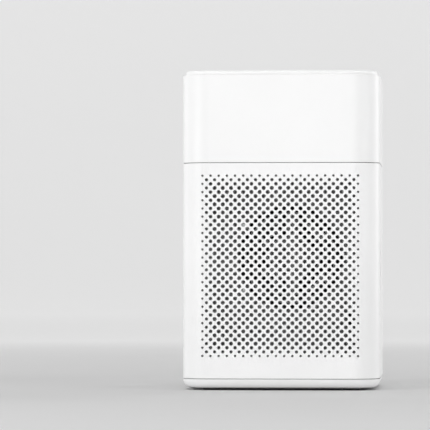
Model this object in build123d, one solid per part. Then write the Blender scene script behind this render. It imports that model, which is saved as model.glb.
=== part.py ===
from build123d import *
import math
import os

# Tabletop air purifier.  Millimetres, +Z up, front towards -Y, right side towards +X.
# Origin: centre of the footprint, on the surface that the feet stand on.
# Air enters through the front cover, the fan wheel blows it up through the filter,
# and it leaves by the grille in the top.

# ---- overall shape ----
body_width = 208.0
body_depth = 208.0
corner_radius = 29.4
foot_height = 2.0
base_height = 9.7
lower_height = 226.3
upper_height = 92.4
cap_rise = 4.3
seam = 0.7

# ---- general sizes and clearances ----
wall = 2.5
fit_gap = 0.35
lip_thickness = 1.6
lip_height = 4.0
screw_radius = 1.5
head_radius = 2.8
head_height = 1.8
boss_radius = 4.6

# ---- base ----
base_edge_radius = 9.3
base_floor = 3.0
base_rim = 5.6
foot_radius = 9.0
foot_sink = 1.0
foot_inset = 30.0
base_screw_inset = 20.0
base_screw_ys = (-28.0, 56.0)
base_boss_height = 26.0
upper_screw_inset = 11.0
upper_boss_height = 24.0

# ---- front cover ----
cover_depth = 36.0
hole_pitch = 8.6
hole_columns = 20
hole_rows = 45
hole_radii = (1.25, 1.66, 1.86, 2.1)
grid_center_z = 130.8
notch_depth = 14.0
notch_height = 49.0
notch_corner = 5.0
magnet_radius = 4.0
magnet_thickness = 3.0
magnet_block = 11.0
magnet_rise = 27.6
magnet_drop = 16.7
catch_thickness = 1.5

# ---- bulkhead and inlet guard ----
bulkhead_setback = 50.0
bulkhead_thickness = 2.5
fan_x = 8.5
fan_z = 139.5
inlet_overlap = 4.0
bellmouth_depth = 5.0
bellmouth_flare = 1.2
guard_hub_radius = 9.5
guard_ring_pitch = 8.4
guard_first_ring = 13.9
guard_rings = 5
guard_ring_width = 2.6
guard_thickness = 2.2
guard_spoke_width = 2.4
guard_upright_width = 8
guard_spoke_angles = (0, 34, 90, 146, 180, 214, 270, 326)
guard_upright_angles = (90, 270)
guard_foot_inset = 5.5
guard_foot_angles = (34, 146, 214, 326)
bulkhead_screw_inset = 7.0
bulkhead_boss_depth = 16.0
bulkhead_screw_heights = (58.0, 92.0, 168.0, 204.0)
sensor_x = 71.6
sensor_z = 74.1
sensor_slot_width = 7.0
sensor_slot_height = 14.0
sensor_width = 20.0
sensor_height = 25.0
sensor_depth = 15.0
sensor_side_wall = 3.6
sensor_top_wall = 7.9

# ---- fan, scroll and motor ----
wheel_radius = 61.0
blade_depth = 10.0
wheel_depth = 54.0
wheel_blades = 36
blade_thickness = 1.2
wheel_clearance = 2.5
shaft_radius = 3.0
shaft_clearance = 0.05
hub_radius = 9.0
hub_wall = 2.0
hub_setback = 6.0
hub_cap_radius = 26.0
hub_cap_thickness = 3.0
hub_cap_plug = 8.0
scroll_wall = 2.0
scroll_gap = 5.0
scroll_growth = 27.0
scroll_back_hole = 34.0
seal_height = 3.5
grommet_radius = 5.0
grommet_height = 3.5
grommet_inset = 8.5
motor_plate_margin = 5.5
motor_plate_thickness = 2.0
motor_radius = 30.0
motor_length = 36.0
motor_wall = 2.0
bearing_radius = 8.0
bearing_width = 5.0
stator_teeth = 6
air_gap = 0.6
magnet_rotor_radius = 15.0

# ---- filter drawer ----
drawer_width = 145.0
drawer_rise = 3.3
drawer_height = 57.8
drawer_front_gap = 10.0
drawer_wall = 2.0
drawer_tray_drop = 14.0
fascia_thickness = 2.5
fascia_gap = 0.5
pull_width = 46.0
pull_height = 17.0
pull_depth = 9.0
filter_gap = 0.6
filter_board = 2.2
filter_drop = 2.5
pleat_pitch = 7.6
pleat_thickness = 1.1
carbon_thickness = 8.0
carbon_cell = 13.0
carbon_rib = 1.6
seal_thickness = 2.6
seal_width = 9.0
skid_width = 4.0

# ---- top panel, grille and controls ----
cap_gap = 0.3
cap_thickness = 3.0
cap_edge_radius = 2.0
cap_skirt_height = 11.0
ledge_width = 6.0
ledge_thickness = 3.0
grille_width = 150.0
grille_depth = 116.0
grille_back_gap = 24.0
grille_corner = 14.0
grille_height = 6.0
grille_rim = 3.0
slat_pitch = 8.2
slat_thickness = 1.6
slat_tilt = 28.0
strip_width = 132.0
strip_depth = 24.0
strip_front_gap = 23.0
strip_sink = 1.0
strip_thickness = 0.8
button_radius = 7.0
button_gap = 0.3
button_pitch = 32.0
button_travel = 0.8
button_flange = 1.6
button_stem_radius = 2.0
lens_radius = 1.1
board_thickness = 1.6
control_board_drop = 14.0
switch_size = 6.0
switch_height = 3.6

# ---- electrical parts in the lower body ----
inlet_x = -52.0
inlet_z = 38.0
inlet_width = 27.0
inlet_height = 17.0
inlet_depth = 22.0
inlet_gap = 0.3
socket_width = 20.0
socket_height = 8.6
socket_depth = 15.0
pin_spacing = 8.6
pin_radius = 1.2
power_board_x = 8.0
power_board_gap = 11.0
power_board_width = 92.0
power_board_depth = 62.0
power_board_lift = 7.0
lead_radius = 1.6
lead_bend = 9.0
lead_tight_bend = 4.0
lead_hole_radius = 3.0
lead_inset = 16.0
lead_y = 36.0

# ---- heights and planes worked out from the sizes above ----
base_low = foot_height
base_top = base_low + base_height
lower_low = base_top + seam
lower_top = lower_low + lower_height
upper_low = lower_top + seam
rim_top = upper_low + upper_height
cap_top = rim_top + cap_rise
front = -body_depth / 2
back = body_depth / 2
side = body_width / 2
foot_x = side - foot_inset
foot_y = back - foot_inset
base_screw_x = side - base_screw_inset
upper_screw_x = side - upper_screw_inset
lead_x = lead_inset - side
magnet_heights = (lower_low + magnet_rise, lower_top - magnet_drop)
cover_back = front + cover_depth
shell_front = cover_back + fit_gap
bulkhead_front = front + bulkhead_setback
bulkhead_back = bulkhead_front + bulkhead_thickness
wheel_inner_radius = wheel_radius - blade_depth
inlet_radius = wheel_inner_radius + inlet_overlap
guard_foot_radius = inlet_radius + guard_foot_inset
scroll_start_radius = wheel_radius + scroll_gap
scroll_end_radius = scroll_start_radius + scroll_growth
grommet_circle = motor_radius + grommet_inset
motor_plate_radius = grommet_circle + motor_plate_margin
wheel_front = bulkhead_back + bellmouth_depth + 2 * wheel_clearance
wheel_back = wheel_front + wheel_depth
hub_front = wheel_front + hub_setback
hub_base_radius = wheel_radius * 0.6
scroll_back = wheel_back + wheel_clearance + scroll_wall
plate_front = scroll_back + grommet_height
plate_back = plate_front + motor_plate_thickness
motor_back = plate_back + motor_length
floor_top = upper_low + wall
drawer_low = floor_top + drawer_rise
drawer_high = drawer_low + drawer_height
lip_low = upper_low - lip_height
cap_inset = wall + cap_gap
cap_plate_low = cap_top - cap_thickness
cap_low = cap_top - cap_skirt_height
strip_floor = cap_top - strip_sink
control_board_top = cap_plate_low - control_board_drop + board_thickness
seal_top = drawer_high - filter_drop + seal_thickness
ceiling_low = seal_top + 0.2
ceiling_thickness = 2.5
grille_center_y = back - grille_back_gap - grille_depth / 2
strip_center_y = front + strip_front_gap + strip_depth / 2
power_board_y = back - power_board_gap - power_board_depth / 2


def block(x_low, x_high, y_low, y_high, z_low, z_high):
    """Rectangular block between two corners."""
    middle = ((x_low + x_high) / 2, (y_low + y_high) / 2, (z_low + z_high) / 2)
    return Pos(*middle) * Box(x_high - x_low, y_high - y_low, z_high - z_low)


def slab(inset, z_low, z_high):
    """Solid with the body's plan outline, moved inwards by inset."""
    radius = max(corner_radius - inset, 1.0)
    plan = RectangleRounded(body_width - 2 * inset, body_depth - 2 * inset, radius)
    return extrude(Pos(0, 0, z_low) * plan, amount=z_high - z_low)


def band(outer, inner, z_low, z_high):
    """Upright wall that follows the body's plan outline."""
    return slab(outer, z_low, z_high) - slab(inner, z_low - 1, z_high + 1)


def rod_z(radius, x, y, z_low, z_high):
    """Round bar along Z."""
    return Pos(x, y, (z_low + z_high) / 2) * Cylinder(radius, z_high - z_low)


def rod_y(radius, x, z, y_low, y_high):
    """Round bar along Y."""
    return Pos(x, (y_low + y_high) / 2, z) * Rot(90, 0, 0) * Cylinder(radius, y_high - y_low)


def tube_y(outer, inner, x, z, y_low, y_high):
    """Round tube along Y."""
    return rod_y(outer, x, z, y_low, y_high) - rod_y(inner, x, z, y_low - 1, y_high + 1)


def front_half(y_limit):
    """Everything in front of a plane, as a large block."""
    return block(-side * 2, side * 2, front * 2, y_limit, -10, cap_top * 2)


def around_fan(radius, angle):
    """Point on a circle about the fan axis, as x and z."""
    turn = math.radians(angle)
    return fan_x + radius * math.cos(turn), fan_z + radius * math.sin(turn)


def save(name, shape):
    export_step(shape, "parts/" + name + ".step")


# ---- base ----

def base_screw_places():
    return [(x, y) for x in (-base_screw_x, base_screw_x) for y in base_screw_ys]


def foot_places():
    return [(x, y) for x in (-foot_x, foot_x) for y in (-foot_y, foot_y)]


def make_base_tray():
    tray = slab(0, base_low, base_top)
    tray = fillet(tray.faces().sort_by(Axis.Z)[0].edges(), base_edge_radius)
    tray -= slab(base_rim, base_low + base_floor, base_top + 1)
    tray += band(wall + fit_gap, base_rim + 0.5, base_top - 1, base_top + lip_height)
    rib_top = base_top + lip_height + 0.5
    rib_side = side - base_rim + 0.5
    tray += block(-rib_side, rib_side, bulkhead_front, bulkhead_back, base_low + 1, rib_top)
    for x, y in base_screw_places():
        tray += rod_z(boss_radius + 1.5, x, y, base_low + 1, base_top)
        tray -= rod_z(screw_radius + 0.2, x, y, 0, base_top + 1)
        tray -= rod_z(head_radius + 0.4, x, y, 0, base_low + head_height + 1)
    for x, y in foot_places():
        tray -= rod_z(foot_radius + 0.1, x, y, 0, base_low + foot_sink)
    for x, y in board_posts():
        tray += rod_z(boss_radius - 1, x, y, base_low + 1, power_board_low())
        tray -= rod_z(screw_radius - 0.4, x, y, base_low + 1.5, base_top + power_board_lift + 5)
    return tray


def make_feet():
    feet = []
    for x, y in foot_places():
        foot = rod_z(foot_radius, x, y, 0, base_low + foot_sink)
        feet.append(fillet(foot.edges().sort_by(Axis.Z)[0], 0.6))
    return Compound(children=feet)


def make_base_screws():
    screws = []
    for x, y in base_screw_places():
        head_top = base_low + head_height + 1
        screw = rod_z(head_radius, x, y, head_top - head_height, head_top)
        screw += rod_z(screw_radius, x, y, head_top - 0.5, base_top + base_boss_height - 6)
        cross = block(x - 1.8, x + 1.8, y - 0.4, y + 0.4, 0, head_top - head_height + 1)
        cross += block(x - 0.4, x + 0.4, y - 1.8, y + 1.8, 0, head_top - head_height + 1)
        screws.append(screw - cross)
    return Compound(children=screws)


# ---- lower body ----

def notch(side_sign):
    """Finger notch behind the front cover's side edge, cut right through the wall."""
    z_low = grid_center_z - notch_height / 2
    z_high = grid_center_z + notch_height / 2
    cutter = block(side - 8, side + 2, shell_front - 8, shell_front + notch_depth, z_low, z_high)
    rear_edges = cutter.edges().filter_by(Axis.X).sort_by(Axis.Y)[-2:]
    cutter = fillet(rear_edges, notch_corner)
    return cutter if side_sign > 0 else mirror(cutter, Plane.YZ)


def bulkhead_screw_places():
    x = side - wall - bulkhead_screw_inset
    return [(sx * x, z) for sx in (-1, 1) for z in bulkhead_screw_heights]


def upper_screw_places():
    return [(sx * upper_screw_x, y) for sx in (-1, 1) for y in base_screw_ys]


def magnet_places():
    x = side - wall - magnet_block / 2
    return [(sx * x, z) for sx in (-1, 1) for z in magnet_heights]


def wall_boss(x, y, z_low, z_high):
    """Upright screw boss with a web out to the nearest side wall."""
    outer = math.copysign(side - wall + 0.5, x)
    web = block(min(x, outer), max(x, outer), y - 1.5, y + 1.5, z_low, z_high)
    return rod_z(boss_radius, x, y, z_low, z_high) + web


def make_rear_shell():
    shell = band(0, wall, lower_low, lower_top) - front_half(shell_front)
    stiff = band(wall - 0.2, wall + fit_gap + lip_thickness, lower_low + 6, lower_top - 6)
    stiff -= front_half(shell_front + 1.5)
    stiff -= block(-side, side, shell_front + 5, back * 2, 0, cap_top)
    lip = band(wall + fit_gap, wall + fit_gap + lip_thickness, lower_low + 6, lower_top - 6)
    lip -= front_half(shell_front - lip_height)
    lip -= block(-side, side, shell_front + 3, back * 2, 0, cap_top)
    shell += stiff + lip
    for sign in (-1, 1):
        shell -= notch(sign)
    for x, z in magnet_places():
        half = magnet_block / 2
        outer = math.copysign(side - wall + 0.5, x)
        inner = x - math.copysign(half, x)
        low_x, high_x = min(inner, outer), max(inner, outer)
        way = block(low_x - 1, high_x + 1, front, shell_front, z - half - 1, z + half + 1)
        shell -= way
        shell += block(low_x, high_x, shell_front, shell_front + 5, z - half, z + half)
        shell -= rod_y(magnet_radius, x, z, shell_front - 1, shell_front + catch_thickness)
    boss_end = bulkhead_back + bulkhead_boss_depth
    for x, z in bulkhead_screw_places():
        boss = rod_y(boss_radius, x, z, bulkhead_back, boss_end)
        outer = math.copysign(side - wall + 0.5, x)
        boss += block(min(x, outer), max(x, outer), bulkhead_back, boss_end, z - 1.5, z + 1.5)
        shell += boss - rod_y(screw_radius - 0.3, x, z, bulkhead_back - 1, boss_end - 3)
    for x, y in base_screw_places():
        shell += wall_boss(x, y, base_top + 0.3, base_top + base_boss_height)
        shell -= rod_z(screw_radius, x, y, 0, base_top + base_boss_height - 5)
    for x, y in upper_screw_places():
        shell += wall_boss(x, y, lower_top - upper_boss_height, lip_low + lip_height - 0.2)
        shell -= rod_z(screw_radius, x, y, lower_top - upper_boss_height + 6, cap_top)
    base_lip_room = band(wall, base_rim + 1, 0, base_top + lip_height + 0.3)
    top_lip_room = band(wall, base_rim + 1, lip_low - 0.3, cap_top)
    shell -= base_lip_room + top_lip_room
    half_w, half_h = inlet_width / 2 + inlet_gap, inlet_height / 2 + inlet_gap
    low_z, high_z = inlet_z - half_h, inlet_z + half_h
    return shell - block(inlet_x - half_w, inlet_x + half_w, back - 10, back + 5, low_z, high_z)


def hole_places():
    """Staggered grid of the front cover: x, z and ring number counted from the edge."""
    places = []
    half_pitch = hole_pitch / 2
    for row in range(hole_rows):
        odd = row % 2
        z = grid_center_z + (row - (hole_rows - 1) / 2) * half_pitch
        for column in range(hole_columns - odd):
            x = (column - (hole_columns - 1) / 2) * hole_pitch + odd * half_pitch
            step = 2 * column + odd
            ring = min(row, hole_rows - 1 - row, step, 2 * (hole_columns - 1) - step)
            places.append((x, z, min(ring, len(hole_radii) - 1)))
    return places


def make_front_cover():
    shell = band(0, wall, lower_low, lower_top) & front_half(cover_back)
    for x, z in magnet_places():
        half = magnet_block / 2
        outer = math.copysign(side - wall + 0.5, x)
        inner = x - math.copysign(half, x)
        pad = block(min(inner, outer), max(inner, outer), cover_back - 14, cover_back, z - half, z + half)
        shell += pad - rod_y(magnet_radius, x, z, cover_back - magnet_thickness, cover_back + 1)
    holes = [rod_y(hole_radii[ring], x, z, front - 1, front + wall + 1) for x, z, ring in hole_places()]
    return shell - holes


def make_cover_magnets():
    low = cover_back - magnet_thickness
    return Compound(children=[rod_y(magnet_radius, x, z, low, cover_back) for x, z in magnet_places()])


def make_catch_plates():
    high = shell_front + catch_thickness
    return Compound(children=[rod_y(magnet_radius, x, z, shell_front, high) for x, z in magnet_places()])


# ---- bulkhead and guard ----

def guard_feet():
    return [around_fan(guard_foot_radius, angle) for angle in guard_foot_angles]


def make_bulkhead():
    half = side - wall - fit_gap - lip_thickness - 0.3
    plate = block(-half, half, bulkhead_front, bulkhead_back, base_top + lip_height + 0.7, lip_low - 0.3)
    plate += rod_y(inlet_radius + 4, fan_x, fan_z, bulkhead_front, bulkhead_back + bellmouth_depth)
    mouth = revolve(bellmouth_profile(), Axis((fan_x, 0, fan_z), (0, 1, 0)))
    plate -= mouth
    for x, z in bulkhead_screw_places():
        plate -= rod_y(screw_radius + 0.2, x, z, front, 0)
    for x, z in guard_feet():
        plate += rod_y(3.4, x, z, bulkhead_back - 1, bulkhead_back + 5)
        plate -= rod_y(1.1, x, z, bulkhead_front - 1, bulkhead_back + 4)
    slot = RectangleRounded(sensor_slot_width, sensor_slot_height, 1.5)
    plate -= extrude(Plane.XZ.offset(-bulkhead_front + 1) * Pos(sensor_x, sensor_z) * slot, amount=-10)
    return plate


def bellmouth_profile():
    """Half section of the air inlet, flared at its front."""
    flare = bellmouth_flare
    depth = bulkhead_thickness + bellmouth_depth
    outline = Polyline(
        (0, -1), (inlet_radius + flare, -1), (inlet_radius + flare, 0), (inlet_radius, flare),
        (inlet_radius, depth + 1), (0, depth + 1), close=True)
    face = make_face(outline)
    return Pos(fan_x, bulkhead_front, fan_z) * face


def make_inlet_guard():
    y_low, y_high = bulkhead_front - guard_thickness, bulkhead_front
    guard = rod_y(guard_hub_radius, fan_x, fan_z, y_low, y_high)
    last = guard_first_ring + (guard_rings - 1) * guard_ring_pitch
    for index in range(guard_rings):
        radius = guard_first_ring + index * guard_ring_pitch
        half = guard_ring_width / 2
        guard += tube_y(radius + half, radius - half, fan_x, fan_z, y_low, y_high)
    for angle in guard_spoke_angles:
        reach = guard_foot_radius if angle in guard_foot_angles else last
        width = guard_upright_width if angle in guard_upright_angles else guard_spoke_width
        spoke = Pos(reach / 2, 0, 0) * Box(reach, guard_thickness, width)
        guard += Pos(fan_x, (y_low + y_high) / 2, fan_z) * Rot(0, -angle, 0) * spoke
    for x, z in guard_feet():
        guard += rod_y(4, x, z, y_low, y_high)
        guard -= rod_y(screw_radius, x, z, y_low - 1, y_high + 1)
    return guard


def screw_y(x, z, seat, length, shank=screw_radius, head=head_radius):
    """Pan-head screw driven towards +Y, its head sitting on the plane y = seat."""
    body = rod_y(head, x, z, seat - head_height, seat)
    body += rod_y(shank, x, z, seat - 0.5, seat + length)
    low = seat - head_height - 1
    body -= block(x - 1.6, x + 1.6, low, low + 1.8, z - 0.35, z + 0.35)
    return body - block(x - 0.35, x + 0.35, low, low + 1.8, z - 1.6, z + 1.6)


def make_bulkhead_screws():
    return Compound(children=[screw_y(x, z, bulkhead_front, 13, 1.2) for x, z in bulkhead_screw_places()])


def make_guard_screws():
    seat = bulkhead_front - guard_thickness
    return Compound(children=[screw_y(x, z, seat, 6, 1.1, 2.4) for x, z in guard_feet()])


def make_dust_sensor():
    y = bulkhead_back
    low_x, high_z = sensor_x - sensor_side_wall, sensor_z + sensor_top_wall
    case = block(low_x, low_x + sensor_width, y, y + sensor_depth, high_z - sensor_height, high_z)
    case = fillet(case.edges().filter_by(Axis.Y), 1.5)
    half_w, half_h = sensor_slot_width / 2 - 0.8, sensor_slot_height / 2 - 0.8
    low_z, high_z = sensor_z - half_h, sensor_z + half_h
    return case - block(sensor_x - half_w, sensor_x + half_w, y - 1, y + 9, low_z, high_z)


# ---- fan and motor ----

def scroll_outline(grow):
    """Scroll section: spiral from the tongue round to the outlet duct, in x and z."""
    points = []
    steps = 9
    start = math.degrees(math.asin(grow / (scroll_start_radius + grow)))
    for index in range(steps + 1):
        swept = start + (270 - start) * index / steps
        spread = (scroll_end_radius - scroll_start_radius) * swept / 270
        points.append(around_fan(scroll_start_radius + spread + grow, 90 - swept))
    top = upper_low - seal_height
    left_top = (points[-1][0], top)
    tongue_top = (points[0][0], top)
    spiral = Spline(points)
    lines = [Line(points[-1], left_top), Line(left_top, tongue_top), Line(tongue_top, points[0])]
    return make_face([spiral] + lines)


def scroll_solid(grow, y_low, y_high):
    face = Plane.XZ * scroll_outline(grow)
    return Pos(0, y_low, 0) * extrude(face, amount=-(y_high - y_low))


def grommet_places():
    return [around_fan(grommet_circle, angle) for angle in (90, 210, 330)]


def make_scroll_housing():
    shell = scroll_solid(scroll_wall, bulkhead_back, scroll_back)
    shell -= scroll_solid(0, bulkhead_back - 1, scroll_back - scroll_wall)
    shell -= rod_y(inlet_radius + 4.2, fan_x, fan_z, bulkhead_back - 1, bulkhead_back + bellmouth_depth)
    shell -= rod_y(scroll_back_hole, fan_x, fan_z, scroll_back - 10, scroll_back + 1)
    for x, z in grommet_places():
        shell -= rod_y(1.3, x, z, scroll_back - 10, scroll_back + 1)
    return shell


def make_duct_seal():
    """Foam ring between the scroll's outlet and the upper housing's floor."""
    low = upper_low - seal_height
    left = fan_x - scroll_end_radius
    outer = block(left - scroll_wall, fan_x + scroll_wall, bulkhead_back, scroll_back, low, upper_low)
    inner = block(left, fan_x, bulkhead_back + 4, scroll_back - scroll_wall, low - 1, upper_low + 1)
    return outer - inner


def make_fan_wheel():
    blades = []
    for index in range(wheel_blades):
        angle = 360 * index / wheel_blades
        inner_x, inner_z = around_fan(wheel_inner_radius, angle)
        outer_x, outer_z = around_fan(wheel_radius - 0.4, angle - 7)
        middle_x, middle_z = around_fan((wheel_inner_radius + wheel_radius) / 2, angle - 5.4)
        arc = ThreePointArc((inner_x, inner_z), (middle_x, middle_z), (outer_x, outer_z))
        sheet = Plane.XZ * trace(arc, line_width=blade_thickness)
        blades.append(Pos(0, wheel_front, 0) * extrude(sheet, amount=-wheel_depth))
    wheel = rod_y(wheel_radius, fan_x, fan_z, wheel_back - 2, wheel_back)
    wheel += tube_y(wheel_radius, wheel_radius - 3, fan_x, fan_z, wheel_front, wheel_front + 3)
    wheel += blades
    wheel += hub_cone(0)
    wheel -= hub_cone(hub_wall)
    wheel += rod_y(hub_radius, fan_x, fan_z, hub_front + hub_wall - 0.5, wheel_back)
    return wheel - rod_y(shaft_radius, fan_x, fan_z, wheel_front, wheel_back + 1)


def hub_cone(inset):
    """Hub of the fan wheel as a cone, open at its back once the inset one is taken away."""
    back_y = wheel_back if inset else wheel_back - 1
    wide, narrow = hub_base_radius - inset, hub_cap_radius - 1 - inset
    cone = Cone(wide, narrow, back_y - hub_front - inset, align=(Align.CENTER, Align.CENTER, Align.MIN))
    return Pos(fan_x, back_y, fan_z) * Rot(90, 0, 0) * cone


def make_hub_cap():
    """Cap snapped over the front of the hub."""
    cap = rod_y(hub_cap_radius, fan_x, fan_z, hub_front - hub_cap_thickness, hub_front)
    cap = fillet(cap.edges().sort_by(Axis.Y)[0], 2)
    return cap + rod_y(shaft_radius - 0.1, fan_x, fan_z, hub_front - 0.5, hub_front + hub_cap_plug)


def make_motor_shaft():
    shaft = rod_y(shaft_radius, fan_x, fan_z, wheel_back - 26, motor_back - motor_wall - 0.4)
    return chamfer(shaft.edges(), 0.4)


def make_motor_plate():
    plate = rod_y(motor_plate_radius, fan_x, fan_z, plate_front, plate_back)
    plate -= rod_y(bearing_radius + 3, fan_x, fan_z, plate_front - 1, plate_back + 1)
    for x, z in grommet_places():
        plate -= rod_y(1.3, x, z, plate_front - 1, plate_back + 1)
    for angle in (30, 150, 270):
        x, z = around_fan(grommet_circle - 1, angle)
        plate -= rod_y(4, x, z, plate_front - 1, plate_back + 1)
    return plate


def make_motor_grommets():
    rings = [tube_y(grommet_radius, 1.3, x, z, scroll_back, plate_front) for x, z in grommet_places()]
    return Compound(children=rings)


def make_motor_screws():
    screws = []
    for x, z in grommet_places():
        screw = rod_y(1.2, x, z, scroll_back - scroll_wall + 0.1, plate_back + 0.5)
        screws.append(screw + rod_y(head_radius, x, z, plate_back, plate_back + head_height))
    return Compound(children=screws)


def bearing_spans():
    return [(plate_back, plate_back + bearing_width),
            (motor_back - motor_wall - bearing_width - 1, motor_back - motor_wall - 1)]


def make_motor_can():
    can = rod_y(motor_radius, fan_x, fan_z, plate_back, motor_back)
    can = fillet(can.edges().sort_by(Axis.Y)[-1], 3)
    can -= rod_y(motor_radius - motor_wall, fan_x, fan_z, plate_back + motor_wall, motor_back - motor_wall)
    can += rod_y(bearing_radius + motor_wall, fan_x, fan_z, plate_back, plate_back + bearing_width)
    rear = bearing_spans()[1]
    can += rod_y(bearing_radius + motor_wall, fan_x, fan_z, rear[0], motor_back - 1)
    for low, high in bearing_spans():
        can -= rod_y(bearing_radius, fan_x, fan_z, low, high)
    return can - rod_y(shaft_radius + 1, fan_x, fan_z, plate_back - 1, rear[1] + 0.9)


def make_motor_bearings():
    races = []
    for low, high in bearing_spans():
        races.append(tube_y(bearing_radius, shaft_radius + shaft_clearance, fan_x, fan_z, low, high))
    return Compound(children=races)


def rotor_span():
    front_bearing, rear_bearing = bearing_spans()
    return front_bearing[1] + 3, rear_bearing[0] - 3


def make_stator():
    low, high = rotor_span()
    outer = motor_radius - motor_wall
    inner = magnet_rotor_radius + air_gap
    core = tube_y(outer, outer - 3, fan_x, fan_z, low, high)
    for index in range(stator_teeth):
        tooth = Pos((inner + outer) / 2 - 0.5, 0, 0) * Box(outer - inner - 1, high - low, 6)
        core += Pos(fan_x, (low + high) / 2, fan_z) * Rot(0, 360 * index / stator_teeth, 0) * tooth
    return core - rod_y(inner, fan_x, fan_z, low - 1, high + 1)


def make_rotor_magnet():
    low, high = rotor_span()
    return tube_y(magnet_rotor_radius, shaft_radius, fan_x, fan_z, low, high)


# ---- upper housing ----

def drawer_guides():
    """Skids under the drawer and guide ribs beside it."""
    half = drawer_width / 2
    low_y, high_y = front + drawer_front_gap, back - wall
    guides = []
    for sign in (-1, 1):
        x = sign * (half - 12)
        skid = block(x - skid_width / 2, x + skid_width / 2, low_y, high_y, floor_top - 0.5, drawer_low)
        inner = sign * (half + fit_gap)
        outer = sign * (half + fit_gap + 2)
        guide = block(min(inner, outer), max(inner, outer), low_y, high_y, floor_top - 0.5, drawer_low + 18)
        guides += [skid, guide]
    return guides


def air_opening(z_low, z_high):
    """Way from the scroll's outlet up under the filter."""
    left = fan_x - scroll_end_radius
    low_x = max(left, -drawer_width / 2 + 20)
    return block(low_x, fan_x, bulkhead_back + 4, scroll_back - scroll_wall, z_low, z_high)


def ceiling_lugs():
    lugs = []
    for sx in (-1, 1):
        for y in base_screw_ys:
            inner, outer = sx * (side - wall - 8), sx * (side - wall + 0.5)
            low_x, high_x = min(inner, outer), max(inner, outer)
            lugs.append(block(low_x, high_x, y - 8, y + 8, ceiling_low - 4, ceiling_low))
    return lugs


def make_upper_shell():
    shell = band(0, wall, upper_low, rim_top)
    shell = fillet(shell.faces().sort_by(Axis.Z)[-1].outer_wire().edges(), 0.8)
    shell += slab(wall - 0.5, upper_low, floor_top)
    lip = band(wall + fit_gap, wall + fit_gap + lip_thickness, lip_low, upper_low + 1)
    shell += lip
    rib = side - wall - fit_gap - 1
    shell += block(-rib, rib, bulkhead_front, bulkhead_back, lip_low, upper_low + 1)
    shell += band(wall - 0.5, wall + ledge_width, cap_low - ledge_thickness, cap_low)
    shell += drawer_guides() + ceiling_lugs()
    shell -= air_opening(upper_low - 1, floor_top + 1)
    half = drawer_width / 2 + fascia_gap
    low_z, high_z = drawer_low - fascia_gap, drawer_high + fascia_gap
    shell -= block(-half, half, back - 5, back + 5, low_z, high_z)
    for x, y in upper_screw_places():
        shell -= rod_z(screw_radius + 0.2, x, y, upper_low - 1, floor_top + 1)
    return shell - rod_z(lead_hole_radius, lead_x, lead_y, upper_low - 1, floor_top + 1)


def make_upper_screws():
    screws = []
    tip = lower_top - upper_boss_height + 8
    for x, y in upper_screw_places():
        screw = rod_z(head_radius, x, y, floor_top, floor_top + head_height)
        screws.append(screw + rod_z(screw_radius - 0.2, x, y, tip, floor_top + 0.5))
    return Compound(children=screws)


def make_filter_ceiling():
    """Frame over the filter that its seal meets."""
    inset = wall + fit_gap
    plate = slab(inset, ceiling_low, ceiling_low + ceiling_thickness)
    half = drawer_width / 2 - drawer_wall - filter_gap - seal_width
    front_edge = front + drawer_front_gap + drawer_wall + filter_gap + seal_width
    back_edge = back - pull_depth - drawer_wall - 6 - seal_width
    plate -= block(-half, half, front_edge, back_edge, ceiling_low - 1, ceiling_low + 5)
    return plate - rod_z(lead_hole_radius, lead_x, lead_y, ceiling_low - 1, ceiling_low + 5)


# ---- filter drawer ----

def drawer_rear_plane():
    """Rear of the filter's bay, in front of the finger pull."""
    return back - pull_depth - drawer_wall - 6


def make_filter_drawer():
    half = drawer_width / 2
    low_y = front + drawer_front_gap
    tray_high = drawer_high - drawer_tray_drop
    tray = block(-half, half, low_y, back - 1, drawer_low, tray_high)
    bay = half - drawer_wall
    tray -= block(-bay, bay, low_y + drawer_wall, drawer_rear_plane(), drawer_low + drawer_wall, cap_top)
    window = bay - 8
    tray -= block(-window, window, low_y + 10, drawer_rear_plane() - 8, drawer_low - 1, drawer_low + 5)
    rear = drawer_rear_plane() + drawer_wall
    tray -= block(-bay, bay, rear, back - fascia_thickness, drawer_low + drawer_wall, cap_top)
    fascia = block(-half, half, back - fascia_thickness, back, drawer_low, drawer_high)
    fascia = fillet(fascia.edges().filter_by(Axis.Y), 3)
    middle_z = (drawer_low + drawer_high) / 2
    pull_low, pull_high = middle_z - pull_height / 2, middle_z + pull_height / 2
    half_pull = pull_width / 2
    cup = block(-half_pull - 2, half_pull + 2, back - pull_depth - 2, back - 1, pull_low - 2, pull_high + 2)
    recess = block(-half_pull, half_pull, back - pull_depth, back + 1, pull_low, pull_high)
    recess = fillet(recess.edges().filter_by(Axis.Y), 4)
    lip = block(-half_pull, half_pull, back - fascia_thickness, back, pull_high - 4, pull_high)
    return tray + fascia + cup - recess + lip


def filter_box():
    """Outer size of the filter cartridge: x half width, y low and high, z low and high."""
    half = drawer_width / 2 - drawer_wall - filter_gap
    low_y = front + drawer_front_gap + drawer_wall + filter_gap
    high_y = drawer_rear_plane() - filter_gap
    return half, low_y, high_y, drawer_low + drawer_wall, drawer_high - filter_drop


def make_filter_frame():
    half, low_y, high_y, low_z, high_z = filter_box()
    frame = block(-half, half, low_y, high_y, low_z, high_z)
    t = filter_board
    frame -= block(-half + t, half - t, low_y + t, high_y - t, low_z - 1, high_z + 1)
    rim = 4.0
    ledge = block(-half, half, low_y, high_y, low_z, low_z + 1.4)
    ledge -= block(-half + t + rim, half - t - rim, low_y + t + rim, high_y - t - rim, low_z - 1, low_z + 5)
    return frame + ledge


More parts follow.
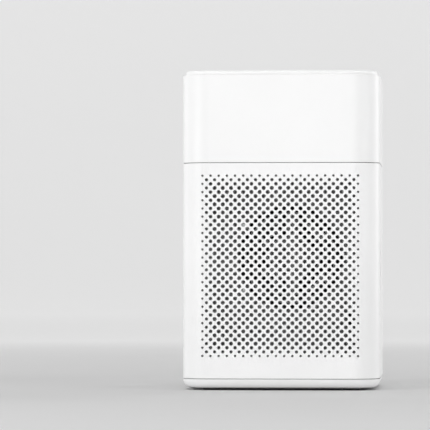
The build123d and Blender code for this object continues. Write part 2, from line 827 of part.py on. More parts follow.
def make_carbon_layer():
    """Honeycomb tray of carbon at the filter's lower, upstream face."""
    half, low_y, high_y, low_z, _ = filter_box()
    inset = filter_board + 0.1
    bottom = low_z + 1.4
    top = bottom + carbon_thickness
    layer = block(-half + inset, half - inset, low_y + inset, high_y - inset, bottom, top)
    cell = RegularPolygon(carbon_cell / 2 - carbon_rib / 2, 6, major_radius=False)
    step_y = carbon_cell * math.sqrt(3) / 2
    columns = int((2 * half - 2 * inset - 4) / carbon_cell) - 1
    rows = int((high_y - low_y - 2 * inset - 4) / step_y)
    cells = []
    for row in range(rows):
        for column in range(columns + 1 - row % 2):
            x = (column - columns / 2 + 0.5 * (row % 2)) * carbon_cell
            y = (low_y + high_y) / 2 + (row - (rows - 1) / 2) * step_y
            cells.append(extrude(Pos(x, y, bottom - 1) * Rot(0, 0, 30) * cell, amount=carbon_thickness + 2))
    return layer - cells


def make_hepa_pleats():
    """Pleated paper as one zigzag sheet across the frame."""
    half, low_y, high_y, low_z, high_z = filter_box()
    inset = filter_board + 0.15
    bottom = low_z + 1.4 + carbon_thickness + 0.3
    top = high_z - 1.5
    span = 2 * (half - inset) - 2 * pleat_thickness
    pleats = int(span / pleat_pitch)
    pitch = span / pleats
    start = -half + inset + pleat_thickness
    upper, lower = [], []
    for index in range(2 * pleats + 1):
        x = start + index * pitch / 2
        z = bottom if index % 2 == 0 else top - pleat_thickness * 2
        upper.append((x, z + pleat_thickness * 2))
        lower.append((x, z))
    sheet = make_face(Polyline(*(upper + lower[::-1]), close=True))
    length = high_y - low_y - 2 * inset
    return Pos(0, low_y + inset, 0) * extrude(Plane.XZ * sheet, amount=-length)


def make_filter_seal():
    half, low_y, high_y, _, high_z = filter_box()
    seal = block(-half, half, low_y, high_y, high_z, seal_top)
    w = seal_width - 2
    return seal - block(-half + w, half - w, low_y + w, high_y - w, high_z - 1, seal_top + 1)


# ---- top panel and controls ----

def button_places():
    return [((index - 1.5) * button_pitch, strip_center_y) for index in range(4)]


def lens_places():
    """One lens beside each button and a row of three for the fan speed."""
    return [(x, strip_center_y - button_radius - 2.6) for x, _ in button_places()]


def post_places():
    return [(sign * (strip_width / 2 - 5), strip_center_y) for sign in (-1, 1)]


def make_top_panel():
    panel = slab(cap_inset, cap_low, cap_top)
    panel = fillet(panel.faces().sort_by(Axis.Z)[-1].edges(), cap_edge_radius)
    panel -= slab(cap_inset + wall, cap_low - 1, cap_plate_low)
    opening = RectangleRounded(grille_width, grille_depth, grille_corner)
    panel -= extrude(Pos(0, grille_center_y, cap_plate_low - 1) * opening, amount=cap_thickness + 2)
    pocket = RectangleRounded(strip_width + 0.2, strip_depth + 0.2, strip_depth / 2)
    panel -= extrude(Pos(0, strip_center_y, strip_floor) * pocket, amount=strip_sink + 1)
    for x, y in button_places():
        panel -= rod_z(button_radius + button_gap, x, y, cap_plate_low - 1, cap_top)
    for x, y in lens_places():
        panel -= rod_z(lens_radius, x, y, cap_plate_low - 1, cap_top)
    for x, y in post_places():
        post = rod_z(3.4, x, y, control_board_top, cap_plate_low + 0.5)
        panel += post - rod_z(1.0, x, y, control_board_top - 1, cap_plate_low - 2)
    return panel


def make_outlet_grille():
    low = cap_plate_low - grille_height + cap_thickness
    clear = 0.25
    frame = RectangleRounded(grille_width - 2 * clear, grille_depth - 2 * clear, grille_corner - clear)
    inner_w, inner_d = grille_width - 2 * grille_rim, grille_depth - 2 * grille_rim
    hole = RectangleRounded(inner_w, inner_d, grille_corner - grille_rim)
    flange = RectangleRounded(grille_width + 6, grille_depth + 6, grille_corner + 3)
    grille = extrude(Pos(0, grille_center_y, low) * frame, amount=cap_top - low)
    grille += extrude(Pos(0, grille_center_y, cap_plate_low - 1.6) * flange, amount=1.6)
    grille -= extrude(Pos(0, grille_center_y, low - 5) * hole, amount=grille_height + 10)
    count = int(inner_d / slat_pitch)
    slats = []
    for index in range(count):
        y = grille_center_y + (index - (count - 1) / 2) * slat_pitch
        slat = Box(inner_w + 2, slat_thickness, grille_height - 0.9)
        slats.append(Pos(0, y, (low + cap_top) / 2) * Rot(slat_tilt, 0, 0) * slat)
    for x in (-inner_w / 6, inner_w / 6):
        reach = inner_d / 2 + 1
        slats.append(block(x - 1, x + 1, grille_center_y - reach, grille_center_y + reach, low, low + 2.5))
    return grille + slats


def make_control_strip():
    plate = RectangleRounded(strip_width, strip_depth, strip_depth / 2 - 0.1)
    strip = extrude(Pos(0, strip_center_y, strip_floor) * plate, amount=strip_thickness)
    for x, y in button_places():
        strip -= rod_z(button_radius + button_gap, x, y, strip_floor - 1, cap_top)
    for x, y in lens_places():
        strip -= rod_z(lens_radius, x, y, strip_floor - 1, cap_top)
    return strip


def make_button(index):
    x, y = button_places()[index]
    top = strip_floor + strip_thickness + 0.3
    flange_top = cap_plate_low - 0.1
    cap = rod_z(button_radius, x, y, flange_top - button_flange, top)
    cap = fillet(cap.edges().sort_by(Axis.Z)[-1], 0.5)
    dish_radius = 60.0
    cap -= Pos(x, y, top + dish_radius - 0.25) * Sphere(dish_radius)
    cap += rod_z(button_radius + 1.4, x, y, flange_top - button_flange, flange_top)
    stem_low = control_board_top + switch_height + button_travel + 0.05
    return cap + rod_z(button_stem_radius, x, y, stem_low, flange_top - 1)


def make_indicator_lenses():
    top = strip_floor + strip_thickness
    low = control_board_top + 1.2
    return Compound(children=[rod_z(lens_radius - 0.1, x, y, low, top) for x, y in lens_places()])


def make_control_board():
    low = control_board_top - board_thickness
    half_w, half_d = strip_width / 2, strip_depth / 2
    board = block(-half_w, half_w, strip_center_y - half_d, strip_center_y + half_d, low, control_board_top)
    for x, y in lens_places():
        board += block(x - 1.6, x + 1.6, y - 0.8, y + 0.8, control_board_top - 0.5, control_board_top + 1)
    for x, y in post_places():
        board -= rod_z(1.3, x, y, low - 1, control_board_top + 1)
    return board


def make_push_switches():
    switches = []
    half = switch_size / 2
    for x, y in button_places():
        case = block(x - half, x + half, y - half, y + half, control_board_top, control_board_top + 2.8)
        switches.append(case + rod_z(1.7, x, y, control_board_top + 2, control_board_top + switch_height))
    return Compound(children=switches)


def make_board_screws():
    """Screws of the control board, driven up, and of the power board, driven down."""
    screws = []
    low = control_board_top - board_thickness
    for x, y in post_places():
        screw = rod_z(2.2, x, y, low - 1.4, low)
        screws.append(screw + rod_z(0.95, x, y, low - 0.5, control_board_top + 8))
    top = power_board_low() + board_thickness
    for x, y in board_posts():
        screw = rod_z(2.2, x, y, top, top + 1.4)
        screws.append(screw + rod_z(1.05, x, y, top - 8, top + 0.5))
    return Compound(children=screws)


# ---- electrical parts in the lower body ----

def power_board_low():
    return base_top + power_board_lift


def board_posts():
    half_w, half_d = power_board_width / 2 - 5, power_board_depth / 2 - 5
    return [(power_board_x + sx * half_w, power_board_y + sy * half_d) for sx in (-1, 1) for sy in (-1, 1)]


def make_power_board():
    low = power_board_low()
    top = low + board_thickness
    half_w, half_d = power_board_width / 2, power_board_depth / 2
    x, y = power_board_x, power_board_y
    board = block(x - half_w, x + half_w, y - half_d, y + half_d, low, top)
    for px, py in board_posts():
        board -= rod_z(1.3, px, py, low - 1, top + 1)
    board += block(x - 30, x - 8, y - 8, y + 14, top - 0.5, top + 20)
    board += rod_z(7, x + 14, y + 4, top - 0.5, top + 22)
    board += rod_z(5, x + 30, y - 8, top - 0.5, top + 18)
    for low_x, high_x, low_y, high_y, height in connector_boxes():
        board += block(low_x, high_x, low_y, high_y, top - 0.5, top + height)
    return board


def connector_boxes():
    """Two lead connectors on the power board: x low and high, y low and high, height."""
    x, y = power_board_x, power_board_y
    return [(x + 4, x + 24, y - 22, y - 14, 9), (x - 36, x - 22, y - 24, y - 16, 7)]


def make_lead(points, bend=lead_bend):
    """Insulated lead along straight runs joined by tangent arcs."""
    route = FilletPolyline(*points, radius=bend)
    return sweep(Plane(origin=route @ 0, z_dir=route % 0) * Circle(lead_radius), path=route)


def make_motor_lead():
    low_x, high_x, low_y, high_y, height = connector_boxes()[0]
    x, y = (low_x + high_x) / 2, (low_y + high_y) / 2
    end = power_board_low() + board_thickness + height
    exit_z = fan_z - motor_radius * 0.6
    points = [(x, motor_back, exit_z), (x, motor_back + 14, exit_z), (x, motor_back + 14, exit_z - 28),
              (x, y, exit_z - 56), (x, y, end)]
    return make_lead(points)


def make_panel_lead():
    low_x, high_x, low_y, high_y, height = connector_boxes()[1]
    x, y = (low_x + high_x) / 2, (low_y + high_y) / 2
    low = power_board_low() + board_thickness + height
    top = (ceiling_low + ceiling_thickness + control_board_top - board_thickness) / 2
    end_x = -strip_width / 2 + 14
    points = [(x, y, low), (x, y, low + 24), (lead_x, lead_y, low + 44), (lead_x, lead_y, top),
              (lead_x, strip_center_y + 18, top), (end_x, strip_center_y, top),
              (end_x + 10, strip_center_y, top),
              (end_x + 10, strip_center_y, control_board_top - board_thickness)]
    return make_lead(points, lead_tight_bend)


def make_mains_lead():
    board_top = power_board_low() + board_thickness
    x = power_board_x - power_board_width / 2 + 6
    start_y = back - inlet_depth
    points = [(inlet_x, start_y, inlet_z), (inlet_x, start_y - 14, inlet_z),
              (x, start_y - 22, inlet_z - 2), (x, start_y - 22, board_top)]
    return make_lead(points, 6.0)


def make_sensor_lead():
    board_top = power_board_low() + board_thickness
    x, y = sensor_x + sensor_width / 2, bulkhead_back + sensor_depth
    end_x = power_board_x + power_board_width / 2 - 8
    points = [(x, y, sensor_z - 6), (x, y + 20, sensor_z - 6), (x, y + 66, sensor_z - 22),
              (end_x, power_board_y, sensor_z - 26), (end_x, power_board_y, board_top)]
    return make_lead(points)


def make_power_inlet():
    half_w, half_h = inlet_width / 2, inlet_height / 2
    low_z, high_z = inlet_z - half_h, inlet_z + half_h
    low_x, high_x = inlet_x - half_w, inlet_x + half_w
    body = block(low_x, high_x, back - inlet_depth, back, low_z, high_z)
    body += block(low_x - 2, high_x + 2, back - wall - 1.5, back - wall, low_z - 2, high_z + 2)
    socket = RectangleRounded(socket_width, socket_height, socket_height / 2 - 0.1)
    cavity = extrude(Plane.XZ * Pos(inlet_x, inlet_z) * socket, amount=-(socket_depth + 1))
    return body - Pos(0, back - socket_depth, 0) * cavity


def make_inlet_pins():
    pins = []
    for sign in (-1, 1):
        x = inlet_x + sign * pin_spacing / 2
        pin = rod_y(pin_radius, x, inlet_z, back - socket_depth, back - 4)
        pins.append(fillet(pin.edges().sort_by(Axis.Y)[-1], 0.8))
    return Compound(children=pins)


def main():
    os.makedirs("parts", exist_ok=True)
    save("base_tray", make_base_tray())
    save("feet", make_feet())
    save("base_screws", make_base_screws())
    save("rear_shell", make_rear_shell())
    save("front_cover", make_front_cover())
    save("cover_magnets", make_cover_magnets())
    save("catch_plates", make_catch_plates())
    save("bulkhead", make_bulkhead())
    save("inlet_guard", make_inlet_guard())
    save("bulkhead_screws", make_bulkhead_screws())
    save("guard_screws", make_guard_screws())
    save("dust_sensor", make_dust_sensor())
    save("scroll_housing", make_scroll_housing())
    save("duct_seal", make_duct_seal())
    save("fan_wheel", make_fan_wheel())
    save("hub_cap", make_hub_cap())
    save("motor_shaft", make_motor_shaft())
    save("motor_plate", make_motor_plate())
    save("motor_grommets", make_motor_grommets())
    save("motor_screws", make_motor_screws())
    save("motor_can", make_motor_can())
    save("motor_bearings", make_motor_bearings())
    save("stator", make_stator())
    save("rotor_magnet", make_rotor_magnet())
    save("upper_shell", make_upper_shell())
    save("upper_screws", make_upper_screws())
    save("filter_ceiling", make_filter_ceiling())
    save("filter_drawer", make_filter_drawer())
    save("filter_frame", make_filter_frame())
    save("carbon_layer", make_carbon_layer())
    save("hepa_pleats", make_hepa_pleats())
    save("filter_seal", make_filter_seal())
    save("top_panel", make_top_panel())
    save("outlet_grille", make_outlet_grille())
    save("control_strip", make_control_strip())
    for index, name in enumerate(("power", "speed", "timer", "night")):
        save(name + "_button", make_button(index))
    save("indicator_lenses", make_indicator_lenses())
    save("control_board", make_control_board())
    save("push_switches", make_push_switches())
    save("board_screws", make_board_screws())
    save("power_board", make_power_board())
    save("power_inlet", make_power_inlet())
    save("inlet_pins", make_inlet_pins())
    save("mains_lead", make_mains_lead())
    save("motor_lead", make_motor_lead())
    save("panel_lead", make_panel_lead())
    save("sensor_lead", make_sensor_lead())


main()
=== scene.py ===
import math

import bmesh
import bpy
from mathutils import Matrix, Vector


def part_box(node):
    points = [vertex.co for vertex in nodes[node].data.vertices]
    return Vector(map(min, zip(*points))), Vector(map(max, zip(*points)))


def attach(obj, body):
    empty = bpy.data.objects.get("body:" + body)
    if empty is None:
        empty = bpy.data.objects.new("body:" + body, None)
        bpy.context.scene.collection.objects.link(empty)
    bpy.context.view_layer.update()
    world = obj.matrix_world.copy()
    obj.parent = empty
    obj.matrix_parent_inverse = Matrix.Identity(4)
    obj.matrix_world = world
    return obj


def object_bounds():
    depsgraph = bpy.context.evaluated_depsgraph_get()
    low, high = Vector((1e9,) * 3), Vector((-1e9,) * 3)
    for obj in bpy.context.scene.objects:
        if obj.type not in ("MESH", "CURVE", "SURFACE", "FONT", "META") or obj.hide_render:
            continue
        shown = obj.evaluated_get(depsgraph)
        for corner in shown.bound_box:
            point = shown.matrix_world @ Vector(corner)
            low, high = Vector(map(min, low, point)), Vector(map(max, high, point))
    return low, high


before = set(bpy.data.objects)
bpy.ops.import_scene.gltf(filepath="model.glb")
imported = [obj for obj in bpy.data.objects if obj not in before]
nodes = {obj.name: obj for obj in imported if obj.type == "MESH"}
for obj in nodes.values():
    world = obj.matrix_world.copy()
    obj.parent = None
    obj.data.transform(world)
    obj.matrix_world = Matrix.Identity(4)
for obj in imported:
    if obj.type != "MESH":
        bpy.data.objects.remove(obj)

# Tabletop air purifier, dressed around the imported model. Metres, front towards -Y.
mm = 0.001
cadBox = [list(corner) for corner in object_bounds()]
low, high = Vector(cadBox[0]), Vector(cadBox[1])
bpy.context.scene.view_settings.view_transform = "Standard"
print("frame loaded:", len(nodes), "nodes")


def plug(tree, slot, value):                 # links a Wire, sets anything else
    if isinstance(value, Wire):
        tree.links.new(value.socket, slot)
    else:
        slot.default_value = value


class Wire:                                  # a socket that can be used in sums
    def __init__(self, tree, socket):
        self.tree, self.socket = tree, socket

    def join(self, kind, first, second):
        node = self.tree.nodes.new("ShaderNodeMath")
        node.operation = kind
        for slot, value in zip(node.inputs, (first, second)):
            plug(self.tree, slot, value)
        return Wire(self.tree, node.outputs[0])

    def __add__(self, other): return self.join("ADD", self, other)
    def __radd__(self, other): return self.join("ADD", other, self)
    def __sub__(self, other): return self.join("SUBTRACT", self, other)
    def __rsub__(self, other): return self.join("SUBTRACT", other, self)
    def __mul__(self, other): return self.join("MULTIPLY", self, other)
    def __rmul__(self, other): return self.join("MULTIPLY", other, self)
    def __truediv__(self, other): return self.join("DIVIDE", self, other)
    def __rtruediv__(self, other): return self.join("DIVIDE", other, self)
    def __gt__(self, other): return self.join("GREATER_THAN", self, other)
    def __lt__(self, other): return self.join("LESS_THAN", self, other)


class Finish:                                # a material and the nodes that make it
    def __init__(self, name):
        self.material = bpy.data.materials.new(name)
        self.material.use_nodes = True
        self.tree = self.material.node_tree
        self.shader = self.tree.nodes["Principled BSDF"]
        place = self.tree.nodes.new("ShaderNodeTexCoord")
        self.place = Wire(self.tree, place.outputs["Object"])

    def node(self, kind, settings=None, sockets=None, out=0):
        made = self.tree.nodes.new(kind)
        for key, value in (settings or {}).items():
            if key == "stops":
                self.setStops(made.color_ramp, value)
            else:
                setattr(made, key, value)
        for key, value in (sockets or {}).items():
            plug(self.tree, made.inputs[key], value)
        return Wire(self.tree, made.outputs[out])

    def setStops(self, ramp, stops):
        while len(ramp.elements) < len(stops):
            ramp.elements.new(0.5)
        for element, (spot, shade) in zip(ramp.elements, stops):
            element.position = spot
            element.color = (shade, shade, shade, 1)

    def noise(self, scale, detail=3.0, rough=0.55):
        return self.node("ShaderNodeTexNoise", None, {"Vector": self.place, "Scale": scale,
                                                      "Detail": detail, "Roughness": rough})

    def cells(self, scale):
        return self.node("ShaderNodeTexVoronoi", None, {"Vector": self.place, "Scale": scale})

    def ramp(self, value, stops):
        return self.node("ShaderNodeValToRGB", {"stops": stops}, {"Fac": value})

    def within(self, lowest, highest):       # 1 between two corners, 0 outside them
        inside = 1
        for axis in range(3):
            spot = self.node("ShaderNodeSeparateXYZ", None, {"Vector": self.place}, axis)
            inside = inside * (spot > lowest[axis])
            inside = inside * (spot < highest[axis])
        return inside

    def mix(self, factor, first, second):    # 6 and 7 are the colour sockets
        return self.node("ShaderNodeMix", {"data_type": "RGBA"},
                         {0: factor, 6: first, 7: second}, 2)

    def feed(self, **sockets):
        names = {"color": "Base Color", "roughness": "Roughness", "metallic": "Metallic",
                 "coat": "Coat Weight", "emission": "Emission Color", "normal": "Normal",
                 "ior": "IOR", "glow": "Emission Strength", "clear": "Transmission Weight",
                 "sheen": "Sheen Weight"}
        for key, value in sockets.items():
            plug(self.tree, self.shader.inputs[names[key]], value)
        return self.material

    def bump(self, height, strength, distance):
        return self.node("ShaderNodeBump", None,
                         {"Height": height, "Strength": strength, "Distance": distance})


def shade(value, tint=(1.0, 1.0, 1.0)):
    return (value * tint[0], value * tint[1], value * tint[2], 1.0)


def placeMesh(name, mesh, material):
    data = bpy.data.meshes.new(name)
    mesh.to_mesh(data)
    mesh.free()
    data.materials.append(material)
    piece = bpy.data.objects.new(name, data)
    bpy.context.collection.objects.link(piece)
    return piece


# Moulded plastic: spark-eroded grain, slow colour drift, dust and painted shade in corners, painted
# shade in seams and bores.
moulding = {
    "drift": 9.0, "haze": 38.0, "fine": 640.0, "spark": 2600.0,              # noise scales
    "reach": 5 * mm, "grainDepth": 0.03 * mm,
    "dustShadeTone": 0.62, "creviceShadeTone": 0.12, "boreShadeTone": 0.06,                # times the dark tone
    "boreFacing": 0.3,                       # squared front part of a normal, below it is a bore
}


# dust scales a dust tint that comes with painted shade in corners
def mouldedPlastic(name, pale, dark, rough=0.36, grain=0.35, coat=0.0, dust=0.2, gap=0.9,
                   tint=(1, 1, 1), holes=None):
    look = Finish(name)
    drift = look.noise(moulding["drift"], 2.0)
    speck = look.noise(moulding["spark"], 2.0, 0.6)
    haze = look.noise(moulding["haze"], 4.0, 0.6)
    corner = look.node("ShaderNodeAmbientOcclusion", {"samples": 8},
                       {"Distance": moulding["reach"]}, 1)
    # painted shade with a dust tint: darker and warmer where the AO node finds corners closed in
    dustAndCornerShade = (1 - corner) * dust * look.ramp(haze, [(0.3, 0.35), (0.75, 1.0)])
    # painted shade: seams and holes go near black where the AO node finds them closed in, scaled by
    # gap
    paintedCreviceShade = look.ramp(corner, [(0.2, 1.0), (0.58, 0.0)])
    base = look.mix(look.ramp(drift, [(0.35, 0.0), (0.65, 1.0)]),
                    shade(pale, tint), shade(dark, tint))
    base = look.mix(dustAndCornerShade, base, shade(dark * moulding["dustShadeTone"], (1.0, 0.985, 0.95)))
    base = look.mix(paintedCreviceShade * gap, base, shade(dark * moulding["creviceShadeTone"]))
    if holes:                                # deep shade in the bores between two corners
        normal = look.node("ShaderNodeTexCoord", None, None, 1)
        facing = look.node("ShaderNodeSeparateXYZ", None, {"Vector": normal}, 1)
        bore = look.within(*holes) * (facing * facing < moulding["boreFacing"])
        base = look.mix(bore, base, shade(dark * moulding["boreShadeTone"]))
    rub = look.ramp(haze, [(0.25, 0.0), (0.8, 1.0)])
    height = speck * 0.7 + look.noise(moulding["fine"], 2.0) * 0.3
    return look.feed(color=base, roughness=rough + rub * 0.07 + speck * 0.03, coat=coat,
                     normal=look.bump(height, grain, moulding["grainDepth"]))


def softRubber(name, tone):
    look = Finish(name)
    crumb = look.noise(1500.0, 4.0, 0.65)
    dust = look.ramp(look.noise(160.0, 5.0, 0.7), [(0.42, 0.0), (0.8, 1.0)])
    base = look.mix(dust * 0.35, shade(tone), shade(tone * 2.6, (1.0, 0.97, 0.92)))
    return look.feed(color=base, roughness=0.72 + crumb * 0.18,
                     normal=look.bump(crumb, 0.5, 0.06 * mm))


def openFoam(name, tone):
    look = Finish(name)
    pore = look.cells(1300.0)
    base = look.mix(look.ramp(pore, [(0.1, 0.0), (0.6, 1.0)]),
                    shade(tone * 0.4), shade(tone * 1.3))
    return look.feed(color=base, roughness=0.95, normal=look.bump(pore, 0.9, 0.15 * mm))


# Metal with fine turning or rolling marks along one axis.
def workedMetal(name, tone, rough, stretch=(1.0, 1.0, 18.0), tint=(1.0, 1.0, 1.0), worn=0.3):
    look = Finish(name)
    along = look.node("ShaderNodeVectorMath", {"operation": "MULTIPLY"},
                      {0: look.place, 1: stretch})
    mark = look.node("ShaderNodeTexNoise", None, {"Vector": along, "Scale": 900.0, "Detail": 4.0})
    blotch = look.noise(120.0, 4.0)
    base = look.mix(look.ramp(blotch, [(0.35, 0.0), (0.7, 1.0)]),
                    shade(tone, tint), shade(tone * (1 - worn), tint))
    return look.feed(color=base, metallic=1.0, roughness=rough + mark * 0.18,
                     normal=look.bump(mark, 0.25, 0.02 * mm))


def circuitBoard(name):
    look = Finish(name)
    track = look.node("ShaderNodeTexBrick", {"offset": 0.37},
                      {"Vector": look.place, "Scale": 260.0, "Mortar Size": 0.06,
                       "Color1": (0, 0, 0, 1), "Color2": (0.2, 0.2, 0.2, 1),
                       "Mortar": (1, 1, 1, 1)})
    weave = look.noise(2200.0, 2.0)
    base = look.mix(track * 0.7, (0.012, 0.075, 0.03, 1), (0.05, 0.2, 0.09, 1))
    return look.feed(color=base, roughness=0.28 + weave * 0.1, coat=0.4,
                     normal=look.bump(track + weave * 0.2, 0.4, 0.03 * mm))


def foldedPaper(name, tone, fibre=0.5):
    look = Finish(name)
    strand = look.node("ShaderNodeTexNoise", None,
                       {"Vector": look.node("ShaderNodeVectorMath", {"operation": "MULTIPLY"},
                                            {0: look.place, 1: (1.0, 5.0, 1.0)}),
                        "Scale": 1100.0, "Detail": 5.0, "Roughness": 0.7})
    cloud = look.noise(60.0, 4.0)
    base = look.mix(look.ramp(strand, [(0.3, 0.0), (0.7, 1.0)]),
                    shade(tone * 0.86, (1, 0.99, 0.97)), shade(tone, (1, 0.995, 0.985)))
    base = look.mix(cloud * 0.16, base, shade(tone * 0.6, (1, 0.97, 0.92)))
    return look.feed(color=base, roughness=0.9, sheen=0.1,
                     normal=look.bump(strand, fibre, 0.08 * mm))


def carbonGrains(name):
    look = Finish(name)
    grain = look.cells(900.0)
    dust = look.noise(500.0, 3.0)
    base = look.mix(look.ramp(grain, [(0.0, 0.0), (0.5, 1.0)]), shade(0.006), shade(0.045))
    return look.feed(color=base, roughness=0.55 + dust * 0.35,
                     normal=look.bump(grain, 1.0, 0.3 * mm))


def clearLens(name):
    look = Finish(name)
    swirl = look.noise(900.0, 2.0)
    base = look.mix(swirl, (0.72, 0.82, 0.8, 1), (0.86, 0.93, 0.92, 1))
    return look.feed(color=base, roughness=0.1 + swirl * 0.08, clear=0.55, ior=1.49)


def printedInk(name, tone):
    look = Finish(name)
    screen = look.noise(5200.0, 2.0)
    base = look.mix(look.ramp(screen, [(0.35, 0.0), (0.7, 1.0)]),
                    shade(tone), shade(tone * 1.35))
    return look.feed(color=base, roughness=0.5 + screen * 0.12,
                     normal=look.bump(screen, 0.2, 0.01 * mm))


# The box round the cover's rows of holes, where the bore walls get painted shade: half its width,
# its foot and its top, and how far behind the foremost point it starts and ends.
coverHoles = {"half": 84 * mm, "foot": 32 * mm, "top": 230 * mm,
              "starts": 0.1 * mm, "ends": 3.5 * mm}
plastics = {
    "body": dict(pale=0.87, dark=0.85, rough=0.34, grain=0.3),
    "cover": dict(pale=0.87, dark=0.85, rough=0.34, grain=0.3,
                  holes=((-coverHoles["half"], low.y + coverHoles["starts"], coverHoles["foot"]),
                         (coverHoles["half"], low.y + coverHoles["ends"], coverHoles["top"]))),
    "grille": dict(pale=0.84, dark=0.81, rough=0.38, grain=0.35, dust=0.4),
    "inner": dict(pale=0.4, dark=0.36, rough=0.42, grain=0.5, dust=0.5),
    "fan": dict(pale=0.05, dark=0.04, rough=0.45, grain=0.4, dust=0.45, tint=(0.97, 1.0, 1.02)),
    "button": dict(pale=0.8, dark=0.78, rough=0.3, grain=0.25),
    "strip": dict(pale=0.83, dark=0.82, rough=0.12, grain=0.03, coat=0.8, dust=0.1),
    "black": dict(pale=0.035, dark=0.025, rough=0.42, grain=0.6, dust=0.3),
}
finishes = {key: mouldedPlastic(key + "Plastic", **values) for key, values in plastics.items()}
finishes.update({
    "rubber": softRubber("footRubber", 0.035),
    "leadBlack": softRubber("blackLead", 0.02),
    "leadWhite": softRubber("whiteLead", 0.3),
    "foam": openFoam("sealFoam", 0.05),
    "screw": workedMetal("zincScrew", 0.62, 0.26, tint=(0.98, 0.99, 1.0)),
    "sheet": workedMetal("platedSheet", 0.5, 0.34, stretch=(1.0, 1.0, 12.0)),
    "shaft": workedMetal("groundShaft", 0.68, 0.16, stretch=(1.0, 20.0, 1.0)),
    "bearing": workedMetal("polishedRing", 0.72, 0.12),
    "core": workedMetal("woundCore", 0.38, 0.4, stretch=(1.0, 26.0, 1.0), tint=(1.0, 0.62, 0.38)),
    "ferrite": mouldedPlastic("ferrite", 0.05, 0.035, rough=0.55, grain=0.8),
    "nickel": workedMetal("nickelDisc", 0.68, 0.14, tint=(1.0, 0.98, 0.93)),
    "brass": workedMetal("contactBrass", 0.66, 0.2, stretch=(1.0, 16.0, 1.0),
                         tint=(1.0, 0.84, 0.5)),
    "board": circuitBoard("greenBoard"),
    "card": foldedPaper("filterCard", 0.78, 0.35),
    "paper": foldedPaper("filterPaper", 0.86, 0.7),
    "carbon": carbonGrains("carbonHoneycomb"),
    "lens": clearLens("lightPipe"),
    "ink": printedInk("greyInk", 0.12),
})
print("finishes made:", len(finishes))

nodeFinishes = {
    "body": ("base_tray", "rear_shell", "upper_shell", "top_panel", "filter_drawer"),
    "cover": ("front_cover",),
    "grille": ("outlet_grille",),
    "inner": ("bulkhead", "inlet_guard", "scroll_housing", "filter_ceiling", "hub_cap"),
    "fan": ("fan_wheel",),
    "button": ("power_button", "speed_button", "timer_button", "night_button"),
    "strip": ("control_strip",),
    "black": ("dust_sensor", "push_switches", "power_inlet"),
    "rubber": ("feet", "motor_grommets"),
    "leadBlack": ("mains_lead",),
    "leadWhite": ("motor_lead", "panel_lead", "sensor_lead"),
    "foam": ("duct_seal", "filter_seal"),
    "screw": ("base_screws", "bulkhead_screws", "guard_screws", "motor_screws",
              "upper_screws", "board_screws"),
    "sheet": ("motor_plate", "motor_can", "catch_plates"),
    "shaft": ("motor_shaft",),
    "bearing": ("motor_bearings",),
    "core": ("stator",),
    "ferrite": ("rotor_magnet",),
    "nickel": ("cover_magnets",),
    "brass": ("inlet_pins",),
    "board": ("control_board", "power_board"),
    "card": ("filter_frame",),
    "paper": ("hepa_pleats",),
    "carbon": ("carbon_layer",),
    "lens": ("indicator_lenses",),
}
for key, names in nodeFinishes.items():
    for name in names:
        for slot in nodes[name].material_slots:
            slot.material = finishes[key]
print("CAD nodes dressed")


# Printed symbols on the push buttons: thin ink shapes that follow the dished tops.
symbols = {"radius": 2.7 * mm, "stroke": 0.55 * mm, "ink": 0.04 * mm,
           "dish": 60 * mm, "sink": 0.25 * mm, "weld": 0.001 * mm, "upright": 0.3}


def arcPoints(radius, first, last, count, centre=(0.0, 0.0)):
    turns = [math.radians(first + (last - first) * i / count) for i in range(count + 1)]
    return [(centre[0] + radius * math.cos(t), centre[1] + radius * math.sin(t)) for t in turns]


def strokePath(points, width, closed=False):
    left, right = [], []
    count = len(points)
    for i, point in enumerate(points):
        before = points[i - 1] if i or closed else point
        after = points[(i + 1) % count] if i < count - 1 or closed else point
        run = Vector((after[0] - before[0], after[1] - before[1])).normalized()
        side = Vector((-run.y, run.x)) * width / 2
        left.append((point[0] + side.x, point[1] + side.y))
        right.append((point[0] - side.x, point[1] - side.y))
    last = count if closed else count - 1
    return [(left[i], right[i], right[(i + 1) % count], left[(i + 1) % count]) for i in range(last)]


def symbolFaces(kind):
    r, width = symbols["radius"], symbols["stroke"]
    if kind == "power":                      # a broken ring and a bar
        ring = strokePath(arcPoints(r, 125, 415, 40), width)
        return ring + strokePath([(0, r * 0.25), (0, r * 1.25)], width)
    if kind == "speed":                      # a hub and three blades
        faces = strokePath(arcPoints(r * 0.2, 0, 360, 20)[:-1], width * 0.8, True)
        for turn in (90, 210, 330):
            root = arcPoints(r * 0.62, turn, turn, 1)[0]
            blade = arcPoints(r * 0.5, turn - 75, turn + 75, 14, root)
            faces += strokePath(blade, width * 0.8)
        return faces
    if kind == "timer":                      # a clock face with two hands
        faces = strokePath(arcPoints(r, 0, 360, 44)[:-1], width, True)
        return faces + strokePath([(0, r * 0.62), (0, 0), (r * 0.45, -r * 0.2)], width * 0.9)
    steps = 30                               # a crescent
    outer = arcPoints(r * 1.05, 50, 310, steps)
    span = outer[0][1]
    inner = arcPoints(span * 1.02, 80, 280, steps, (outer[0][0] - span * 0.18, 0))
    return [(outer[i], outer[i + 1], inner[i + 1], inner[i]) for i in range(steps)]


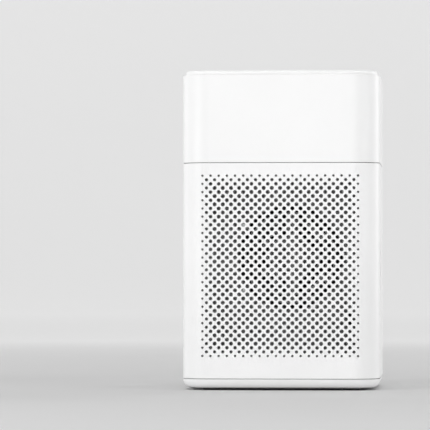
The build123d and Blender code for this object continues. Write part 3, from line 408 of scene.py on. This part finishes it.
def printSymbol(kind):
    lowCorner, highCorner = (Vector(c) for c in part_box(kind + "_button"))
    centre = (lowCorner + highCorner) / 2
    mesh = bmesh.new()
    for face in symbolFaces(kind):
        top, bottom = [], []
        for x, y in face:
            dish = highCorner.z - symbols["sink"] + (x * x + y * y) / (2 * symbols["dish"])
            top.append(mesh.verts.new((centre.x + x, centre.y + y, dish + symbols["ink"])))
            bottom.append(mesh.verts.new((centre.x + x, centre.y + y, dish - symbols["ink"])))
        mesh.faces.new(top)
        mesh.faces.new(bottom[::-1])
        for i in range(len(top)):
            j = (i + 1) % len(top)
            mesh.faces.new((top[i], bottom[i], bottom[j], top[j]))
    bmesh.ops.remove_doubles(mesh, verts=mesh.verts, dist=symbols["weld"])
    inner = [f for f in mesh.faces if abs(f.normal.z) < symbols["upright"]
             and all(len(e.link_faces) > 2 for e in f.edges[:1])]
    bmesh.ops.delete(mesh, geom=inner, context="FACES_ONLY")
    bmesh.ops.recalc_face_normals(mesh, faces=mesh.faces)
    piece = placeMesh(kind + "Symbol", mesh, finishes["ink"])
    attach(piece, kind + "_button")


for kind in ("power", "speed", "timer", "night"):
    printSymbol(kind)
print("button symbols printed")


# Studio: a round pale floor that curves up into a low wall, far enough out to walk round
# the purifier. It starts to glow at near and glows fully at far.
studio = {"floor": 0.66, "flat": 6.0, "bend": 1.4, "wall": 2.2, "sides": 120, "rows": 8,
          "curve": 12, "glow": 0.4, "near": 0.4, "far": 2.4, "room": 0.4}


def paperSweep():
    look = Finish("studioPaper")
    cloud = look.noise(3.0, 3.0)
    base = look.mix(cloud, shade(studio["floor"]), shade(studio["floor"] * 0.97))
    out = look.node("ShaderNodeVectorMath", {"operation": "LENGTH"}, {0: look.place}, 1)
    step = (out - studio["near"]) / (studio["far"] - studio["near"])
    glow = look.ramp(step, [(0.0, 0.0), (1.0, studio["glow"])])
    surface = look.feed(color=base, roughness=0.9, emission=glow, glow=1.0,
                        normal=look.bump(look.noise(700.0), 0.05, 0.1 * mm))
    flat, bend, rows, curve = (studio[key] for key in ("flat", "bend", "rows", "curve"))
    profile = [(flat * i / rows, 0.0) for i in range(1, rows + 1)]
    for i in range(1, curve + 1):
        turn = math.radians(90 * i / curve)
        profile.append((flat + bend * math.sin(turn), bend - bend * math.cos(turn)))
    profile.append((flat + bend, studio["wall"]))
    turns = [math.tau * i / studio["sides"] for i in range(studio["sides"])]
    mesh = bmesh.new()
    rings = []
    for radius, height in profile:
        rings.append([mesh.verts.new((radius * math.cos(t), radius * math.sin(t), height))
                      for t in turns])
    mesh.faces.new(rings[0])
    for inner, outer in zip(rings, rings[1:]):
        for i in range(len(inner)):
            j = (i + 1) % len(inner)
            mesh.faces.new((inner[i], outer[i], outer[j], inner[j])).smooth = True
    placeMesh("studioSweep", mesh, surface)


paperSweep()

lamps = {
    "front": dict(place=(0.3, -3.9, 0.3), size=(1.2, 1.2), power=2.1, spread=45),
    "frontLeft": dict(place=(-1.9, -1.5, 0.75), size=(0.8, 1.4), power=5.3, spread=90),
    "frontRight": dict(place=(2.0, -1.1, 0.75), size=(0.8, 1.4), power=3.0, spread=90),
    "above": dict(place=(0.0, -0.1, 2.0), size=(1.8, 1.8), power=11, spread=180),
    "backLeft": dict(place=(-2.0, 0.95, 0.8), size=(0.9, 1.4), power=1.6, spread=90),
    "backRight": dict(place=(1.8, 1.25, 0.8), size=(0.9, 1.4), power=3.0, spread=90),
}
middle = (low + high) / 2


def hangLamp(name, place, size, power, spread):
    light = bpy.data.lights.new(name + "Lamp", "AREA")
    light.shape, light.size, light.size_y, light.energy = "RECTANGLE", size[0], size[1], power
    light.spread = math.radians(spread)
    lamp = bpy.data.objects.new(name + "Lamp", light)
    lamp.location = place
    lamp.rotation_euler = (middle - Vector(place)).to_track_quat("-Z", "Y").to_euler()
    lamp.visible_camera = False
    bpy.context.collection.objects.link(lamp)


for name, values in lamps.items():
    hangLamp(name, **values)
world = bpy.data.worlds.new("softRoom")
bpy.context.scene.world = world
world.use_nodes = True
background = world.node_tree.nodes["Background"]
background.inputs["Color"].default_value = (1, 1, 1, 1)
background.inputs["Strength"].default_value = studio["room"]
print("studio lit")

# Long lens, a little to the right, at the height of the fan.
lens = {"away": 3.675, "aside": 0.175, "eye": 0.1284, "aim": (-0.0684, 0.1841),
        "focal": 293.7, "sensor": 36.0, "reach": 50.0}
eye = bpy.data.cameras.new("frontCamera")
eye.lens, eye.sensor_width, eye.clip_end = lens["focal"], lens["sensor"], lens["reach"]
camera = bpy.data.objects.new("frontCamera", eye)
camera.location = (lens["aside"], low.y - lens["away"], lens["eye"])
target = Vector((lens["aim"][0], low.y, lens["aim"][1]))
camera.rotation_euler = (target - camera.location).to_track_quat("-Z", "Y").to_euler()
bpy.context.collection.objects.link(camera)
bpy.context.scene.camera = camera
print("camera placed")
